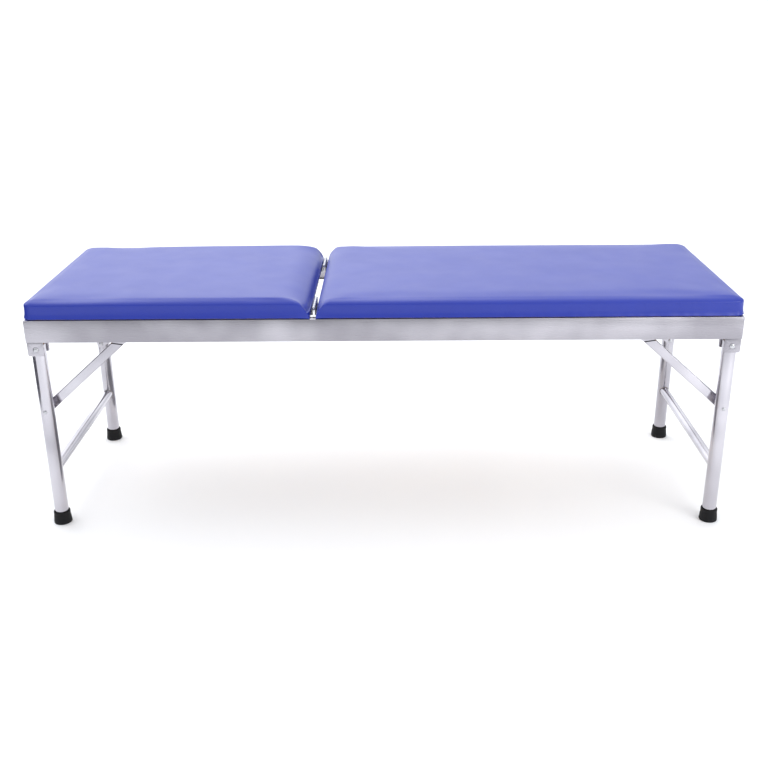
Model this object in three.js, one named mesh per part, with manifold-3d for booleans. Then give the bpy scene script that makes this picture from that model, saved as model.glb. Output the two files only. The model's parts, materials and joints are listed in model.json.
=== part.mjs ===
// Folding examination couch: a stainless steel frame on two folding leg frames, with a fixed seat
// pad and a backrest pad that tilts up on two butt hinges and is held by two ratchet stays.
// Millimetres. +X points to the foot end, +Y to the rear side, +Z up. The origin is on the floor,
// under the middle of the couch. Quarter pieces are built at the foot end, front side, and mirrored.

import * as THREE from 'three';
import { mergeVertices } from 'three/addons/utils/BufferGeometryUtils.js';
import Module from 'manifold-3d';

const wasm = await Module();
wasm.setup();

// ---------------------------------------------------------------- driving dimensions
const CLEAR = 0.3; // gap between pieces that touch
const RUNNING = 0.35; // round a bolt, rivet or pin in its hole
const BEYOND = 1; // how far a cut runs past the face it opens
const SHEET = 1.5; // rail, tube and channel wall
const PLATE = 2.5; // bracket and hinge plate

const COUCH_LENGTH = 1900; // over the pads
const PAD_WIDTH = 620;
const PAD_TOP = 663;
const PAD_CORNER = 18; // plan radius of a pad corner
const PAD_EDGE = 14; // round of a pad's top edge
const BOARD = 12; // plywood thickness
const BOARD_INSET = 8; // pad cover and foam outside the board's edge

const FRAME_LENGTH = 1892;
const FRAME_WIDTH = 616;
const RAIL_BOTTOM = 550;
const RAIL_TOP = 611;
const TOP_FLANGE = 25;
const BOTTOM_LIP = 12;
const CROSS_WIDTH = 20;
const CROSS_DEPTH = 30;
const CROSS_X = 730; // cross tubes beside the far ends of the brace guides
const MID_CROSS_X = 365; // cross tubes beside their near ends

const LEG_X = 922.5;
const LEG_Y = 285;
const LEG_RADIUS = 19;
const LEG_FOOT = 12.3; // height of a leg's lower end, inside its ferrule
const PIVOT_Z = 530; // leg pivot
const RIVET_Z = 348; // brace rivet on the leg
const CROSSBAR_Z = 168;
const CROSSBAR_RADIUS = 14;
const FERRULE_TOP = 37;
const BRACKET_LENGTH = 43;
const BRACKET_BOTTOM = 512;
const BRACKET_TONGUE = 6; // how far the saddle goes up inside the rail
const CHEEK_GAP = 4; // between a leg and the saddle's inner cheek
const BOLT_RADIUS = 4;
const RIVET_RADIUS = 3;

const BRACE_RUN = 261.5; // brace rivet to guide pin, along the couch, with the legs down
const BRACE_WIDTH = 25;
const BRACE_DEPTH = 12;
const BRACE_Y = 259.5; // middle plane of a brace
const BRACE_END = 13; // round end of a brace
const BRACE_PLATE = 3; // thickness of its flattened ends
const GUIDE_Z = 580; // brace guide slot
const GUIDE_PIN = 5;
const GUIDE_Y = 268.5; // middle plane of a guide
const GUIDE_HEIGHT = 38;

const GAP_X = -183; // middle of the gap between the pads
const GAP_WIDTH = 12;
const HINGE_Z = 627; // tilt axis
const HINGE_Y = 215;
const HINGE_LENGTH = 100;
const KNUCKLES = 5;
const KNUCKLE_RADIUS = 4.5;
const HINGE_PIN = 2.5;
const LEAF = 2.2; // thickness of a hinge leaf's upright part
const LEAF_REACH = 40; // from the tilt axis to the end of its flat part
const BACK_ROUND = [54, 43]; // length and height of the backrest pad's round at the gap

const STAY_Y = 200;
const STAY_FOOT = new THREE.Vector2(-392, 588); // stay pivot on the frame, in X and Z
const STAY_HEAD = new THREE.Vector2(-683, 598); // stay pivot on the backrest, at rest
const STAY_ROD = 5;
const SLEEVE_DEPTH = 20;
const SLEEVE_WIDTH = 14;
const SLEEVE_LENGTH = 262;
const EAR_RADIUS = 11; // ears that hold a stay to the frame
const EAR = 3; // thickness of an ear
const LUG_RADIUS = 9; // lugs that hold a stay to the backrest
const BAR_EYE = 8; // round end of a ratchet bar
const TEETH = { start: 95, pitch: 22, count: 7, depth: 4.5, slope: 10 };

// worked out from them
const HALF_LENGTH = COUCH_LENGTH / 2;
const HALF_FRAME = FRAME_LENGTH / 2;
const HALF_WIDTH = FRAME_WIDTH / 2;
const INNER_WALL = HALF_WIDTH - SHEET;
const PAD_BOTTOM = RAIL_TOP + CLEAR;
const LEG_TOP = PIVOT_Z + LEG_RADIUS;
const BRACE_LENGTH = Math.hypot(BRACE_RUN, GUIDE_Z - RIVET_Z);
const BRACE_ANGLE = Math.atan2(GUIDE_Z - RIVET_Z, -BRACE_RUN);
const FOLDED_PIN_X = LEG_X - (PIVOT_Z - RIVET_Z)
  - Math.sqrt(BRACE_LENGTH ** 2 - (GUIDE_Z - PIVOT_Z) ** 2);

// ---------------------------------------------------------------- materials
const finish = (color, roughness, metalness) =>
  new THREE.MeshStandardMaterial({ color, roughness, metalness });
const STAINLESS = finish(0xb9b7bc, 0.32, 1);
const ZINC = finish(0xa4a6aa, 0.4, 1);
const RUBBER = finish(0x1d1d20, 0.85, 0);
const PLYWOOD = finish(0xc49a6c, 0.75, 0);
const VINYL = finish(0x2f3bc4, 0.42, 0);

// ---------------------------------------------------------------- geometry helpers
const couch = new THREE.Group();

// A closed geometry as a solid, with its faces turned outwards.
function solid(geometry) {
  const bare = geometry.index ? geometry.toNonIndexed() : geometry.clone();
  bare.deleteAttribute('normal');
  bare.deleteAttribute('uv');
  const merged = mergeVertices(bare, 1e-3);
  const place = merged.attributes.position;
  const [a, b, c] = [new THREE.Vector3(), new THREE.Vector3(), new THREE.Vector3()];
  const triangles = [];
  let volume = 0;
  for (let i = 0; i < merged.index.count; i += 3) {
    const [p, q, r] = [0, 1, 2].map((k) => merged.index.getX(i + k));
    if (p === q || q === r || r === p) continue;
    triangles.push([p, q, r]);
    a.fromBufferAttribute(place, p);
    b.fromBufferAttribute(place, q);
    c.fromBufferAttribute(place, r);
    volume += a.dot(b.cross(c));
  }
  const outward = volume > 0 ? triangles : triangles.map(([p, q, r]) => [p, r, q]);
  return new wasm.Manifold(new wasm.Mesh({
    numProp: 3,
    vertProperties: Float32Array.from(place.array),
    triVerts: Uint32Array.from(outward.flat()),
  }));
}

function geometryOf(body) {
  const mesh = body.getMesh();
  const geometry = new THREE.BufferGeometry();
  geometry.setAttribute('position', new THREE.BufferAttribute(Float32Array.from(mesh.vertProperties), 3));
  geometry.setIndex(new THREE.BufferAttribute(Uint32Array.from(mesh.triVerts), 1));
  return geometry;
}

const join = (...bodies) => bodies.reduce((sum, body) => sum.add(body));
const cut = (body, ...tools) => tools.reduce((rest, tool) => rest.subtract(tool), body);

function box(x0, x1, y0, y1, z0, z1) {
  const geometry = new THREE.BoxGeometry(x1 - x0, y1 - y0, z1 - z0);
  return solid(geometry.translate((x0 + x1) / 2, (y0 + y1) / 2, (z0 + z1) / 2));
}

// A round bar along Y.
function barAlongY(radius, y0, y1, x, z, segments = 12) {
  const geometry = new THREE.CylinderGeometry(radius, radius, y1 - y0, segments);
  return solid(geometry.translate(x, (y0 + y1) / 2, z));
}

// A turned piece on an axis along Y, from [radius, y] points.
function turnedAlongY(points, x, z, segments = 12) {
  const profile = points.map(([radius, y]) => new THREE.Vector2(radius, y));
  return solid(new THREE.LatheGeometry(profile, segments).translate(x, 0, z));
}

// A turned piece on an upright axis, from [radius, z] points.
function turnedUpright(points, x, y, segments = 20) {
  const profile = points.map(([radius, z]) => new THREE.Vector2(radius, z));
  const geometry = new THREE.LatheGeometry(profile, segments).rotateX(Math.PI / 2);
  return solid(geometry.translate(x, y, 0));
}

const outline = (points) => new THREE.Shape(points.map(([u, v]) => new THREE.Vector2(u, v)));

// An outline in Y and Z, drawn out along X.
function drawnAlongX(shape, x0, x1) {
  const geometry = new THREE.ExtrudeGeometry(shape, { depth: x1 - x0, bevelEnabled: false });
  const turn = new THREE.Matrix4().makeBasis(
    new THREE.Vector3(0, 1, 0), new THREE.Vector3(0, 0, 1), new THREE.Vector3(1, 0, 0));
  return solid(geometry.applyMatrix4(turn).translate(x0, 0, 0));
}

// An outline in X and Z, drawn out along Y.
function drawnAlongY(shape, y0, y1, curveSegments = 4) {
  const geometry = new THREE.ExtrudeGeometry(shape, { depth: y1 - y0, bevelEnabled: false, curveSegments });
  return solid(geometry.rotateX(Math.PI / 2).translate(0, y1, 0));
}

function roundedRectangle(u0, u1, v0, v1, radius) {
  const shape = new THREE.Shape();
  shape.moveTo(u0 + radius, v0);
  shape.lineTo(u1 - radius, v0);
  shape.absarc(u1 - radius, v0 + radius, radius, -Math.PI / 2, 0);
  shape.lineTo(u1, v1 - radius);
  shape.absarc(u1 - radius, v1 - radius, radius, 0, Math.PI / 2);
  shape.lineTo(u0 + radius, v1);
  shape.absarc(u0 + radius, v1 - radius, radius, Math.PI / 2, Math.PI);
  shape.lineTo(u0, v0 + radius);
  shape.absarc(u0 + radius, v0 + radius, radius, Math.PI, Math.PI * 1.5);
  return shape;
}

function withHole(shape, hole) {
  shape.holes.push(hole);
  return shape;
}

// A straight bar with round ends, between two points of its plane.
function slotShape(u0, u1, v, radius) {
  const shape = new THREE.Shape();
  shape.absarc(u0, v, radius, Math.PI / 2, Math.PI * 1.5);
  shape.absarc(u1, v, radius, -Math.PI / 2, Math.PI / 2);
  return shape;
}

function addPiece(name, geometry, material) {
  const mesh = new THREE.Mesh(geometry, material);
  mesh.name = name;
  couch.add(mesh);
}

const addSolid = (name, body, material) => addPiece(name, geometryOf(body), material);

// The same piece on the other side of the couch, with its faces still outwards.
function mirrored(geometry, signX, signY) {
  const copy = geometry.clone().scale(signX, signY, 1);
  if (signX * signY < 0) {
    const index = copy.index.array;
    for (let i = 0; i < index.length; i += 3) [index[i + 1], index[i + 2]] = [index[i + 2], index[i + 1]];
  }
  return copy;
}

const ENDS = [['head', -1], ['foot', 1]];
const SIDES = [['front', 1], ['rear', -1]];

// One copy at each corner of the couch.
function addQuarters(pieceName, body, material) {
  const geometry = geometryOf(body);
  for (const [end, signX] of ENDS) {
    for (const [side, signY] of SIDES) {
      addPiece(`${end}_${side}_${pieceName}`, mirrored(geometry, signX, signY), material);
    }
  }
}

// ---------------------------------------------------------------- frame
function makeRails() {
  const sideOutline = outline([
    [-HALF_WIDTH, RAIL_BOTTOM], [-HALF_WIDTH + BOTTOM_LIP, RAIL_BOTTOM],
    [-HALF_WIDTH + BOTTOM_LIP, RAIL_BOTTOM + SHEET], [-INNER_WALL, RAIL_BOTTOM + SHEET],
    [-INNER_WALL, RAIL_TOP - SHEET], [-HALF_WIDTH + TOP_FLANGE, RAIL_TOP - SHEET],
    [-HALF_WIDTH + TOP_FLANGE, RAIL_TOP], [-HALF_WIDTH, RAIL_TOP],
  ]);
  const bracketNotch = (signX) => {
    const [near, far] = [HALF_FRAME - BRACKET_LENGTH - 4, HALF_FRAME + BEYOND];
    return box(Math.min(signX * near, signX * far), Math.max(signX * near, signX * far), -INNER_WALL,
      -HALF_WIDTH + BOTTOM_LIP + BEYOND, RAIL_BOTTOM - BEYOND, RAIL_BOTTOM + SHEET + BEYOND);
  };
  const sideRail = cut(drawnAlongX(sideOutline, -HALF_FRAME, HALF_FRAME), bracketNotch(-1), bracketNotch(1));
  for (const [side, signY] of SIDES) {
    addPiece(`${side}_rail`, mirrored(geometryOf(sideRail), 1, signY), STAINLESS);
  }

  const endOutline = outline([
    [HALF_FRAME - BOTTOM_LIP, RAIL_BOTTOM], [HALF_FRAME, RAIL_BOTTOM], [HALF_FRAME, RAIL_TOP],
    [HALF_FRAME - TOP_FLANGE, RAIL_TOP], [HALF_FRAME - TOP_FLANGE, RAIL_TOP - SHEET],
    [HALF_FRAME - SHEET, RAIL_TOP - SHEET], [HALF_FRAME - SHEET, RAIL_BOTTOM + SHEET],
    [HALF_FRAME - BOTTOM_LIP, RAIL_BOTTOM + SHEET],
  ]);
  const wallY = INNER_WALL - CLEAR;
  const flangeY = HALF_WIDTH - TOP_FLANGE - CLEAR;
  const lipY = LEG_Y - LEG_RADIUS - CHEEK_GAP - 7; // clear of the saddle
  const corner = (signY, y, x1, z0, z1) => box(HALF_FRAME - TOP_FLANGE - BEYOND, x1,
    Math.min(signY * y, signY * HALF_WIDTH), Math.max(signY * y, signY * HALF_WIDTH), z0, z1);
  const corners = [-1, 1].flatMap((signY) => [
    corner(signY, flangeY, HALF_FRAME + BEYOND, RAIL_TOP - SHEET - CLEAR, RAIL_TOP + BEYOND),
    corner(signY, lipY, HALF_FRAME - SHEET, RAIL_BOTTOM - BEYOND, RAIL_BOTTOM + SHEET + CLEAR),
  ]);
  const endRail = cut(drawnAlongY(endOutline, -wallY, wallY), ...corners);
  for (const [end, signX] of ENDS) {
    addPiece(`${end}_end_rail`, mirrored(geometryOf(endRail), signX, 1), STAINLESS);
  }
}

// A square tube across the frame, welded between the side rails.
function crossTube(x, top) {
  const shape = roundedRectangle(x - CROSS_WIDTH / 2, x + CROSS_WIDTH / 2, top - CROSS_DEPTH, top, 2);
  withHole(shape, roundedRectangle(x - CROSS_WIDTH / 2 + SHEET, x + CROSS_WIDTH / 2 - SHEET,
    top - CROSS_DEPTH + SHEET, top - SHEET, 0.8));
  return drawnAlongY(shape, -INNER_WALL + CLEAR, INNER_WALL - CLEAR, 1);
}

function makeCrossTubes() {
  const top = RAIL_TOP - SHEET - CLEAR;
  addSolid('head_cross_tube', crossTube(-CROSS_X, top), STAINLESS);
  addSolid('foot_cross_tube', crossTube(CROSS_X, top), STAINLESS);
  addSolid('seat_cross_tube', crossTube(MID_CROSS_X, top), STAINLESS);
  const hingeTubeX = GAP_X + GAP_WIDTH / 2 + CROSS_WIDTH / 2 + 7;
  addSolid('hinge_cross_tube', crossTube(hingeTubeX, PAD_BOTTOM - PLATE - 2 * CLEAR), STAINLESS);

  // The stays turn in two pairs of ears welded to this tube.
  let support = crossTube(-MID_CROSS_X, top);
  const tubeFace = -MID_CROSS_X - CROSS_WIDTH / 2 + SHEET / 2;
  const ear = new THREE.Shape();
  ear.absarc(STAY_FOOT.x, STAY_FOOT.y, EAR_RADIUS, Math.PI / 2, Math.PI * 1.5);
  ear.lineTo(tubeFace, STAY_FOOT.y - 8);
  ear.lineTo(tubeFace, STAY_FOOT.y + EAR_RADIUS);
  for (const y of [-STAY_Y, STAY_Y]) {
    for (const offset of [-SLEEVE_WIDTH / 2 - EAR - 0.5, SLEEVE_WIDTH / 2 + 0.5]) {
      support = join(support, drawnAlongY(ear, y + offset, y + offset + EAR, 6));
    }
  }
  support = cut(support, barAlongY(STAY_ROD + RUNNING, -HALF_WIDTH, HALF_WIDTH, STAY_FOOT.x, STAY_FOOT.y));
  addSolid('backrest_cross_tube', support, STAINLESS);
}

// ---------------------------------------------------------------- folding legs
// A pressed saddle: the front cheek lies flush under the rail's face and steps in behind it.
function makeLegBrackets() {
  const inner = LEG_Y - LEG_RADIUS - CHEEK_GAP;
  const front = HALF_WIDTH - PLATE;
  const stepped = INNER_WALL - CLEAR;
  const webTop = RAIL_BOTTOM + BRACKET_TONGUE;
  const saddle = outline([
    [-HALF_WIDTH, BRACKET_BOTTOM], [-front, BRACKET_BOTTOM], [-front, RAIL_BOTTOM - 2],
    [-stepped + PLATE, RAIL_BOTTOM + 0.5], [-stepped + PLATE, webTop - PLATE],
    [-inner - PLATE, webTop - PLATE], [-inner - PLATE, BRACKET_BOTTOM], [-inner, BRACKET_BOTTOM],
    [-inner, webTop], [-stepped, webTop],
    [-stepped, RAIL_BOTTOM - CLEAR], [-HALF_WIDTH, RAIL_BOTTOM - CLEAR],
  ]);
  const outerX = HALF_FRAME - SHEET - CLEAR;
  const side = roundedRectangle(outerX - BRACKET_LENGTH, outerX, BRACKET_BOTTOM, webTop + 20, 5);
  const bracket = drawnAlongX(saddle, outerX - BRACKET_LENGTH, outerX)
    .intersect(drawnAlongY(side, -HALF_WIDTH - BEYOND, -inner + BEYOND, 2));
  addQuarters('leg_bracket', cut(bracket,
    barAlongY(BOLT_RADIUS + RUNNING, -HALF_WIDTH - BEYOND, -inner + BEYOND, LEG_X, PIVOT_Z)), STAINLESS);

  const headFace = -HALF_WIDTH - CLEAR;
  const nutFace = -inner + CLEAR;
  addQuarters('leg_pivot_bolt', turnedAlongY([
    [0, headFace - 3.2], [5.2, headFace - 2.4], [7.4, headFace], [BOLT_RADIUS, headFace],
    [BOLT_RADIUS, nutFace], [6.8, nutFace], [6.8, nutFace + 6], [BOLT_RADIUS, nutFace + 6.6],
    [0, nutFace + 8],
  ], LEG_X, PIVOT_Z), ZINC);
}

function makeLegs() {
  const bore = LEG_RADIUS - SHEET;
  const tube = turnedUpright([
    [0, LEG_TOP - SHEET], [bore * 0.8, LEG_TOP - 4], [bore, LEG_TOP - 11], [bore, LEG_FOOT],
    [LEG_RADIUS, LEG_FOOT], [LEG_RADIUS, LEG_TOP - 11], [LEG_RADIUS * 0.8, LEG_TOP - 2.4], [0, LEG_TOP],
  ], LEG_X, -LEG_Y);
  const through = (radius, z) => barAlongY(
    radius + RUNNING, -HALF_WIDTH, -LEG_Y + LEG_RADIUS + BEYOND, LEG_X, z);
  const leg = cut(tube, through(BOLT_RADIUS, PIVOT_Z), through(RIVET_RADIUS, RIVET_Z));
  addQuarters('leg', leg, STAINLESS);

  const ferrule = turnedUpright([
    [0, 0], [23.8, 0], [25.2, 2], [24.8, 8], [22.2, FERRULE_TOP - 4], [21.4, FERRULE_TOP],
    [LEG_RADIUS + 0.5, FERRULE_TOP], [LEG_RADIUS + 0.5, LEG_FOOT - CLEAR], [0, LEG_FOOT - CLEAR],
  ], LEG_X, -LEG_Y);
  addQuarters('foot_ferrule', ferrule, RUBBER);

  const legFace = LEG_Y - LEG_RADIUS;
  const shape = new THREE.Shape().absarc(LEG_X, CROSSBAR_Z, CROSSBAR_RADIUS, 0, Math.PI * 2);
  withHole(shape, new THREE.Path().absarc(LEG_X, CROSSBAR_Z, CROSSBAR_RADIUS - SHEET, 0, Math.PI * 2));
  const legPost = (y) => turnedUpright([
    [0, 0], [LEG_RADIUS + 2 * CLEAR, 0], [LEG_RADIUS + 2 * CLEAR, LEG_TOP], [0, LEG_TOP],
  ], LEG_X, y, 24);
  const crossbar = cut(drawnAlongY(shape, -legFace - 8, legFace + 8, 8), legPost(-LEG_Y), legPost(LEG_Y));
  for (const [end, signX] of ENDS) {
    addPiece(`${end}_leg_crossbar`, mirrored(geometryOf(crossbar), signX, 1), STAINLESS);
  }
}

// ---------------------------------------------------------------- folding braces
function makeBraces() {
  const outerFace = BRACE_Y + BRACE_DEPTH / 2;
  const endPlate = BRACE_PLATE / 2;
  const rivetHole = RIVET_RADIUS + 0.5;

  // Drawn with the rivet at the origin and the brace along +X, then turned into place.
  const taper = 10; // length over which the tube is pressed flat
  const bodyStart = 30;
  const round = 3;
  const section = roundedRectangle(-BRACE_WIDTH / 2 + round, BRACE_WIDTH / 2 - round,
    -BRACE_DEPTH / 2 + round, BRACE_DEPTH / 2 - round, round / 2);
  const bodyGeometry = new THREE.ExtrudeGeometry(section, {
    depth: BRACE_LENGTH - 2 * bodyStart - 2 * taper, bevelEnabled: true, bevelThickness: taper,
    bevelSize: round, bevelSegments: 2, curveSegments: 1,
  });
  const turn = new THREE.Matrix4().makeBasis(
    new THREE.Vector3(0, 0, 1), new THREE.Vector3(0, 1, 0), new THREE.Vector3(1, 0, 0));
  bodyGeometry.applyMatrix4(turn).translate(bodyStart + taper, 0, 0);
  const coreInset = BRACE_WIDTH / 2 - SHEET;
  const coreStart = bodyStart + taper + 6;
  const core = box(coreStart, BRACE_LENGTH - coreStart,
    -BRACE_DEPTH / 2 + SHEET, BRACE_DEPTH, -coreInset, coreInset);
  const body = solid(bodyGeometry);
  const plate = drawnAlongY(slotShape(0, BRACE_LENGTH, 0, BRACE_END), -endPlate, endPlate, 6);
  const boss = barAlongY(8, -BRACE_DEPTH / 2, BRACE_DEPTH / 2 - 2, BRACE_LENGTH, 0);
  const flat = cut(join(cut(join(body, plate), core), boss),
    barAlongY(rivetHole + RUNNING, -BRACE_DEPTH, BRACE_DEPTH, 0, 0));
  const placed = geometryOf(flat).rotateY(-BRACE_ANGLE).translate(LEG_X, -BRACE_Y, RIVET_Z);
  addQuarters('brace', solid(placed), STAINLESS);

  const headFace = -LEG_Y - LEG_RADIUS - CLEAR;
  const bushFace = -LEG_Y + LEG_RADIUS + CLEAR;
  const plateFace = -BRACE_Y - endPlate - CLEAR;
  const tailFace = -BRACE_Y + endPlate + CLEAR;
  addQuarters('brace_rivet', turnedAlongY([
    [0, headFace - 2.6], [3.8, headFace - 1.9], [5.5, headFace], [RIVET_RADIUS, headFace],
    [RIVET_RADIUS, bushFace], [6.5, bushFace], [6.5, plateFace], [rivetHole, plateFace],
    [rivetHole, tailFace], [6.5, tailFace], [4.4, tailFace + 2.8], [0, tailFace + 3.4],
  ], LEG_X, RIVET_Z), ZINC);

  const slot = slotShape(FOLDED_PIN_X, LEG_X - BRACE_RUN, GUIDE_Z, GUIDE_PIN + 0.5);
  const guideEnds = [MID_CROSS_X + CROSS_WIDTH / 2 + CLEAR, CROSS_X - CROSS_WIDTH / 2 - CLEAR];
  const guideShape = outline([
    [guideEnds[0], GUIDE_Z - GUIDE_HEIGHT / 2], [guideEnds[1], GUIDE_Z - GUIDE_HEIGHT / 2],
    [guideEnds[1], GUIDE_Z + GUIDE_HEIGHT / 2], [guideEnds[0], GUIDE_Z + GUIDE_HEIGHT / 2],
  ]);
  const guide = drawnAlongY(withHole(guideShape, slot), -GUIDE_Y - SHEET, -GUIDE_Y + SHEET, 6);
  addQuarters('brace_guide', guide, STAINLESS);

  const guideBack = -GUIDE_Y - SHEET - CLEAR;
  addQuarters('guide_pin', turnedAlongY([
    [0, guideBack - 4.5], [7.5, guideBack - 4.5], [8.5, guideBack],
    [GUIDE_PIN, guideBack], [GUIDE_PIN, -outerFace - CLEAR], [0, -outerFace - CLEAR],
  ], LEG_X - BRACE_RUN, GUIDE_Z), ZINC);
}

// ---------------------------------------------------------------- boards and pads
function makePads() {
  const board = (x0, x1) => {
    const halfWidth = PAD_WIDTH / 2 - BOARD_INSET;
    const geometry = new THREE.ExtrudeGeometry(roundedRectangle(x0, x1, -halfWidth, halfWidth, 12),
      { depth: BOARD, bevelEnabled: false, curveSegments: 4 });
    return solid(geometry.translate(0, 0, PAD_BOTTOM));
  };
  const pocket = (x0, x1) => {
    const halfWidth = PAD_WIDTH / 2 - BOARD_INSET + CLEAR;
    return box(x0 - CLEAR, x1 + CLEAR, -halfWidth, halfWidth,
      PAD_BOTTOM - BEYOND, PAD_BOTTOM + BOARD + CLEAR);
  };
  const block = (x0, x1, edge) => {
    const shape = roundedRectangle(x0 + edge, x1 - edge, -PAD_WIDTH / 2 + edge, PAD_WIDTH / 2 - edge,
      Math.max(PAD_CORNER - edge, 3));
    const geometry = new THREE.ExtrudeGeometry(shape, {
      depth: PAD_TOP - PAD_BOTTOM - edge, bevelEnabled: true, bevelThickness: edge, bevelSize: edge,
      bevelSegments: 4, curveSegments: 4,
    });
    const below = box(x0 - BEYOND, x1 + BEYOND, -PAD_WIDTH, PAD_WIDTH, PAD_BOTTOM - 2 * edge, PAD_BOTTOM);
    return cut(solid(geometry.translate(0, 0, PAD_BOTTOM)), below);
  };

  const seatStart = GAP_X + GAP_WIDTH / 2;
  const seatBoard = [seatStart + BOARD_INSET, HALF_LENGTH - BOARD_INSET];
  addSolid('seat_board', board(...seatBoard), PLYWOOD);
  addSolid('seat_pad', cut(block(seatStart, HALF_LENGTH, PAD_EDGE), pocket(...seatBoard)), VINYL);

  // The backrest's edge at the gap is well rounded, so that it turns clear of the seat pad.
  const backEnd = GAP_X - GAP_WIDTH / 2;
  const backBoard = [-HALF_LENGTH + BOARD_INSET, backEnd - BOARD_INSET];
  const [roundX, roundZ] = BACK_ROUND;
  const shaving = new THREE.Shape();
  shaving.moveTo(backEnd + BEYOND, PAD_TOP - roundZ);
  shaving.lineTo(backEnd + BEYOND, PAD_TOP + BEYOND);
  shaving.lineTo(backEnd - roundX, PAD_TOP + BEYOND);
  shaving.lineTo(backEnd - roundX, PAD_TOP);
  shaving.absellipse(backEnd - roundX, PAD_TOP - roundZ, roundX, roundZ, Math.PI / 2, 0, true);
  const edgeCut = drawnAlongY(shaving, -PAD_WIDTH, PAD_WIDTH, 10);
  addSolid('backrest_board', board(...backBoard), PLYWOOD);
  const backBlock = block(-HALF_LENGTH, backEnd, PAD_EDGE);
  addSolid('backrest_pad', cut(backBlock, pocket(...backBoard), edgeCut), VINYL);
}

// ---------------------------------------------------------------- tilt hinges
// An angled leaf: flat under the board, up beside the pad's edge and round the pin.
function hingeLeaf(sign, y, ownKnuckles) {
  const foot = PAD_BOTTOM - CLEAR;
  const outer = sign * KNUCKLE_RADIUS;
  const inner = sign * (KNUCKLE_RADIUS - LEAF);
  const neck = HINGE_Z - KNUCKLE_RADIUS - 0.7; // the upright part stops under the knuckles
  const angle = outline([
    [GAP_X + inner, foot - PLATE],
    [GAP_X + sign * LEAF_REACH, foot - PLATE], [GAP_X + sign * LEAF_REACH, foot],
    [GAP_X + outer, foot], [GAP_X + outer, neck], [GAP_X + inner, neck],
  ]);
  const pitch = HINGE_LENGTH / KNUCKLES;
  let leaf = drawnAlongY(angle, y - HINGE_LENGTH / 2, y + HINGE_LENGTH / 2);
  for (const knuckle of ownKnuckles) {
    const y0 = y - HINGE_LENGTH / 2 + knuckle * pitch + CLEAR / 2;
    const y1 = y0 + pitch - CLEAR;
    const [x0, x1] = [GAP_X + Math.min(inner, outer), GAP_X + Math.max(inner, outer)];
    leaf = join(leaf, box(x0, x1, y0, y1, neck - BEYOND, HINGE_Z),
      barAlongY(KNUCKLE_RADIUS, y0, y1, GAP_X, HINGE_Z));
  }
  return cut(leaf, barAlongY(HINGE_PIN + 0.3, y - HINGE_LENGTH, y + HINGE_LENGTH, GAP_X, HINGE_Z));
}

function makeHinges() {
  for (const [side, signY] of SIDES) {
    const y = -signY * HINGE_Y;
    addSolid(`${side}_hinge_seat_leaf`, hingeLeaf(1, y, [0, 2, 4]), ZINC);
    addSolid(`${side}_hinge_backrest_leaf`, hingeLeaf(-1, y, [1, 3]), ZINC);
    const half = HINGE_LENGTH / 2 + CLEAR;
    addSolid(`${side}_hinge_pin`, turnedAlongY([
      [0, y - half - 1.6], [3.6, y - half - 1.2], [3.6, y - half], [HINGE_PIN, y - half],
      [HINGE_PIN, y + half], [3.6, y + half], [3.6, y + half + 1.2], [0, y + half + 1.6],
    ], GAP_X, HINGE_Z), ZINC);
  }
}

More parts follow.
